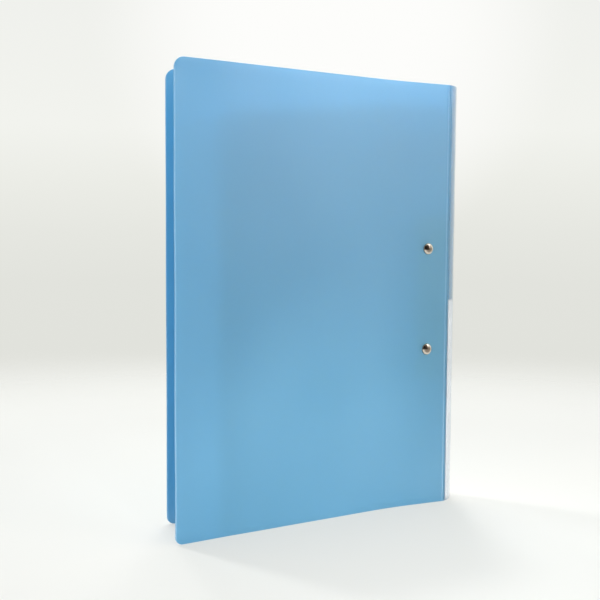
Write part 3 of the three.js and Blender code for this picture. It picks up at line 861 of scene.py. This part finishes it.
AT_ROD = STANDING @ Matrix.Translation((-ROD_OFFSET, ROD_HEIGHT, CLIP_HEIGHT))
for name, node, side in [
    ("lower_jaw_coil", "lower_jaw_spring", -1),
    ("upper_jaw_coil", "upper_jaw_spring", 1),
]:
    path = bpy.data.meshes.new(name)
    points = [AT_ROD @ Vector(p) for p in spring_path(side)]
    path.from_pydata(points, [(i, i + 1) for i in range(len(points) - 1)], [])
    sizes = {"Wire Radius": WIRE_RADIUS * MM, "Sides": WIRE_SIDES}
    settled(grown(name, path, WOUND, sizes, WIRE), "jaw", "spring_wire", node)


# Stamped and cut pieces: copies of their solids, with real edge radii

SAME_PLACE = 1e-6
FLAT_ANGLE = rad(0.6)


def merged_copy(node, name):
    """The solid's mesh with its loose triangles joined, and one face where it is flat."""
    shape = bmesh.new()
    shape.from_mesh(nodes[node].data)
    bmesh.ops.remove_doubles(shape, verts=shape.verts, dist=SAME_PLACE)
    bmesh.ops.dissolve_limit(
        shape, angle_limit=FLAT_ANGLE, verts=shape.verts, edges=shape.edges
    )
    return mesh_of(shape, name)


for node, name, width, material, slot_name in [
    ("clip_base", "clip_base_plate", 0.2, STEEL, "plated_steel"),
    ("jaw_rod", "jaw_hinge_rod", 0.15, STEEL, "plated_steel"),
    ("upper_lever_pin", "upper_lever_rivet", 0.15, STEEL, "plated_steel"),
    ("lower_lever_pin", "lower_lever_rivet", 0.15, STEEL, "plated_steel"),
    ("clamp_jaw", "clamp_jaw_plate", 0.2, STEEL, "plated_steel"),
    ("clip_lever", "clip_lever_plate", 0.2, STEEL, "plated_steel"),
    ("lever_sleeve", "lever_sleeve_grip", 0.15, VINYL, "vinyl"),
    ("base_grip_strip", "base_grip_rubber", 0.06, VINYL, "vinyl"),
    ("jaw_grip_strip", "jaw_grip_rubber", 0.06, VINYL, "vinyl"),
]:
    piece = new_piece(name, merged_copy(node, name), material)
    modified(piece, rounded_edges(width))
    settled(piece, nodes[node]["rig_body"], slot_name, node)


# Stage: a pale floor that fades into the backdrop. Part of what the camera sees of it is flat,
# which softens the shadows.

FLOOR_RADIUS = 1.3
FLOOR_SIDES = 96
FADE_FROM, FADE_TO = 0.5, 1.25
FLAT_SHARE = 0.5


def seen_rays(tree):
    """1 for the rays that show the stage: the camera's, and those mirrored or let through."""
    path = add(tree, "ShaderNodeLightPath")
    seen = path.outputs["Is Camera Ray"]
    for kind in ("Is Glossy Ray", "Is Transmission Ray"):
        seen = add(
            tree, "ShaderNodeMath", links={0: seen, 1: path.outputs[kind]}, operation="MAXIMUM"
        ).outputs["Value"]
    return seen


def fading_floor():
    material, tree, place = new_material("pale_floor_paper")
    centre = add(
        tree, "ShaderNodeVectorMath", links={0: place}, operation="LENGTH"
    ).outputs["Value"]
    away = add(
        tree,
        "ShaderNodeMapRange",
        {"From Min": FADE_FROM, "From Max": FADE_TO},
        {"Value": centre},
        interpolation_type="SMOOTHSTEP",
    ).outputs["Result"]
    seen = seen_rays(tree)
    white = add(
        tree,
        "ShaderNodeMix",
        {"A": srgb("#F9FAF7"), "B": srgb("#D7D8D4")},
        {"Factor": seen},
        data_type="RGBA",
    ).outputs["Result"]
    paper = add(tree, "ShaderNodeBsdfDiffuse", links={"Color": white})
    flat = add(tree, "ShaderNodeEmission", {"Color": srgb("#FBFCF8"), "Strength": 1.0})
    share = add(
        tree, "ShaderNodeMath", {1: FLAT_SHARE}, {0: seen}, operation="MULTIPLY"
    ).outputs["Value"]
    pale = add(
        tree,
        "ShaderNodeMixShader",
        links={"Fac": share, 1: paper.outputs["BSDF"], 2: flat.outputs["Emission"]},
    )
    clear = add(tree, "ShaderNodeBsdfTransparent")
    both = add(
        tree,
        "ShaderNodeMixShader",
        links={"Fac": away, 1: pale.outputs["Shader"], 2: clear.outputs["BSDF"]},
    )
    add(tree, "ShaderNodeOutputMaterial", links={"Surface": both.outputs["Shader"]})
    return material


floor_shape = bmesh.new()
bmesh.ops.create_circle(
    floor_shape, cap_ends=True, segments=FLOOR_SIDES, radius=FLOOR_RADIUS
)
floor = new_piece("floor", mesh_of(floor_shape, "floor"), fading_floor())

# The world: a pale wall for the camera, with a glow behind the file's top edge, and for the light
# a room that is brighter from above
GLOW_AIM = (0.515, 0.82, 0.185)
GLOW_SPAN = {"From Min": math.cos(rad(12.5)), "From Max": math.cos(rad(3))}
ROOM_AIM = (0, 0.2, 0.9)
ROOM_LIGHT = {"From Min": -1, "From Max": 1, "To Min": 0.15, "To Max": 0.68}
WALL_SPAN = {"From Min": -0.5, "From Max": 0.5}
WALL = [
    (0.25, "#F4F5F1"),
    (0.4, "#E1E2DC"),
    (0.46, "#E2E3DD"),
    (0.505, "#E6E7E1"),
    (0.552, "#ECEDE7"),
    (0.596, "#F2F3EE"),
    (0.7, "#F0F1ED"),
    (0.75, "#ECEDE8"),
    (1.0, "#F0F1ED"),
]


def by_direction(tree, aim, values, **settings):
    """A number that depends on how straight a direction of the world points at aim."""
    direction = add(tree, "ShaderNodeTexCoord").outputs["Generated"]
    straight = add(
        tree,
        "ShaderNodeVectorMath",
        {1: Vector(aim).normalized()},
        {0: direction},
        operation="DOT_PRODUCT",
    ).outputs["Value"]
    return add(
        tree, "ShaderNodeMapRange", values, {"Value": straight}, **settings
    ).outputs["Result"]


def studio():
    world = bpy.data.worlds.new("studio")
    world.use_nodes = True
    tree = world.node_tree
    tree.nodes.clear()
    height = by_direction(tree, (0, 0, 1), WALL_SPAN)
    ramp = add(tree, "ShaderNodeValToRGB", links={"Fac": height})
    stops = ramp.color_ramp.elements
    for stop, (position, code) in zip(stops, WALL):
        stop.position, stop.color = position, srgb(code)
    for position, code in WALL[len(stops) :]:
        stops.new(position).color = srgb(code)
    glow = by_direction(tree, GLOW_AIM, GLOW_SPAN, interpolation_type="SMOOTHSTEP")
    wall = add(
        tree,
        "ShaderNodeMix",
        {"B": srgb("#FDFDFB")},
        {"Factor": glow, "A": ramp.outputs["Color"]},
        data_type="RGBA",
    ).outputs["Result"]
    backdrop = add(tree, "ShaderNodeBackground", {"Strength": 1.0}, {"Color": wall})
    room = by_direction(tree, ROOM_AIM, ROOM_LIGHT)
    sky = add(tree, "ShaderNodeBackground", {"Color": srgb("#FFFFFF")}, {"Strength": room})
    sight = add(
        tree,
        "ShaderNodeMixShader",
        links={
            "Fac": seen_rays(tree),
            1: sky.outputs["Background"],
            2: backdrop.outputs["Background"],
        },
    )
    add(tree, "ShaderNodeOutputWorld", links={"Surface": sight.outputs["Shader"]})
    return world


bpy.context.scene.world = studio()


# Lamps: each has its place, what it is aimed at, and its watts

def aimed(name, data, place, target):
    holder = bpy.data.objects.new(name, data)
    holder.location = place
    aim = Vector(target) - Vector(place)
    holder.rotation_euler = aim.to_track_quat("-Z", "Y").to_euler()
    bpy.context.scene.collection.objects.link(holder)
    return holder


def soft_lamp(name, place, target, watts, size):
    """A square lamp whose side is size metres."""
    lamp = bpy.data.lights.new(name, "AREA")
    lamp.shape = "SQUARE"
    lamp.size = size
    lamp.energy = watts
    aimed(name, lamp, place, target)


def spot_lamp(name, place, target, watts, angle, radius):
    """A spot with a cone of angle degrees and a soft edge, which metal doesn't mirror."""
    lamp = bpy.data.lights.new(name, "SPOT")
    lamp.energy = watts
    lamp.spot_size = rad(angle)
    lamp.spot_blend = 1
    lamp.shadow_soft_size = radius
    aimed(name, lamp, place, target).visible_glossy = False


soft_lamp("overhead_softbox", (0.15, 0.45, 2.0), (0.1, 0.1, 0), 14, 1.3)
soft_lamp("gloss_softbox", (1.15, -1.8, 1.05), (0, 0, 0.2), 10, 1.0)
soft_lamp("side_softbox", (1.9, -0.7, 1.0), (0, 0, 0.17), 1.5, 1.2)
soft_lamp("back_softbox", (0.5, 1.2, 1.6), (0, 0, 0.17), 14, 0.8)
# Two that shine down over the front cover on the inside of the back cover's top
spot_lamp("rim_spot", (0.25, 1.4, 1.5), (0, 0, 0.35), 75, 14, 0.15)
spot_lamp("top_spot", (0.4, 0.62, 1.45), (0.1, 0, 0.31), 50, 14, 0.12)
# One that shines past the front cover's free edge and top edge on the inside of the back cover,
# where the front cover's shadow ends
spot_lamp("margin_spot", (-0.54, 1.29, 1.15), (0, 0, 0.19), 62, 30, 0.14)
# Three that lift the back cover's foot, its upper right, and the spine with its label
spot_lamp("low_fill", (-0.3, -1.7, 0.4), (0.005, 0, 0.005), 78, 12, 0.05)
spot_lamp("right_fill", (0.55, -0.75, 0.45), (0.09, 0, 0.3), 26, 26, 0.2)
spot_lamp("spine_spot", (1.3, -0.9, 0.3), (0.12, 0, 0.15), 35, 18, 0.3)

# A dark board beside the camera that only polished metal mirrors, as a dark room would
BOARD_PLACE = Vector((0.15, -1.3, 0.5))
BOARD_AIM = Vector((0.09, 0, 0.166))
BOARD_SIZE = (1.5, 1.1)
BOARD_SHADE = {"From Min": -0.05, "From Max": 0.3}


def dark_paint():
    """Black at one side of the board, and paler towards the other."""
    material, tree, place = new_material("black_flocked_board")
    across = add(tree, "ShaderNodeSeparateXYZ", links={0: place}).outputs["X"]
    shade = add(
        tree, "ShaderNodeMapRange", BOARD_SHADE, {"Value": across}
    ).outputs["Result"]
    paint = add(
        tree,
        "ShaderNodeMix",
        {"A": srgb("#12100E"), "B": srgb("#7C7068")},
        {"Factor": shade},
        data_type="RGBA",
    ).outputs["Result"]
    flock = add(tree, "ShaderNodeBsdfDiffuse", links={"Color": paint})
    add(tree, "ShaderNodeOutputMaterial", links={"Surface": flock.outputs["BSDF"]})
    return material


board_shape = bmesh.new()
bmesh.ops.create_grid(board_shape, x_segments=1, y_segments=1, size=0.5)
board = new_piece("dark_board", mesh_of(board_shape, "dark_board"), dark_paint())
turned = (BOARD_AIM - BOARD_PLACE).to_track_quat("-Z", "Y").to_matrix().to_4x4()
board.matrix_world = (
    Matrix.Translation(BOARD_PLACE) @ turned @ Matrix.Diagonal((*BOARD_SIZE, 1, 1))
)
board.visible_camera = board.visible_diffuse = False
board.visible_shadow = board.visible_transmission = False


# Camera

LENS = 65.76
SENSOR = 36
SHIFT_UP = 0.05
CAMERA_PLACE = (-0.43868, -0.71347, 0.214)
LOOK = Vector((0.509793, 0.860297, 0)).normalized()
PITCH = rad(4.83)
ROLL = rad(-0.36)

forward = LOOK * math.cos(PITCH) + Vector((0, 0, -math.sin(PITCH)))
up_level = LOOK * math.sin(PITCH) + Vector((0, 0, math.cos(PITCH)))
right_level = Vector((LOOK.y, -LOOK.x, 0))
right = right_level * math.cos(ROLL) - up_level * math.sin(ROLL)
up = right_level * math.sin(ROLL) + up_level * math.cos(ROLL)

camera_data = bpy.data.cameras.new("camera")
camera_data.lens = LENS
camera_data.sensor_width = SENSOR
camera_data.shift_y = SHIFT_UP
camera = bpy.data.objects.new("camera", camera_data)
turned = Matrix((right, up, -forward)).transposed().to_4x4()
camera.matrix_world = Matrix.Translation(CAMERA_PLACE) @ turned
bpy.context.scene.collection.objects.link(camera)
bpy.context.scene.camera = camera

bpy.context.scene.view_settings.view_transform = "Standard"
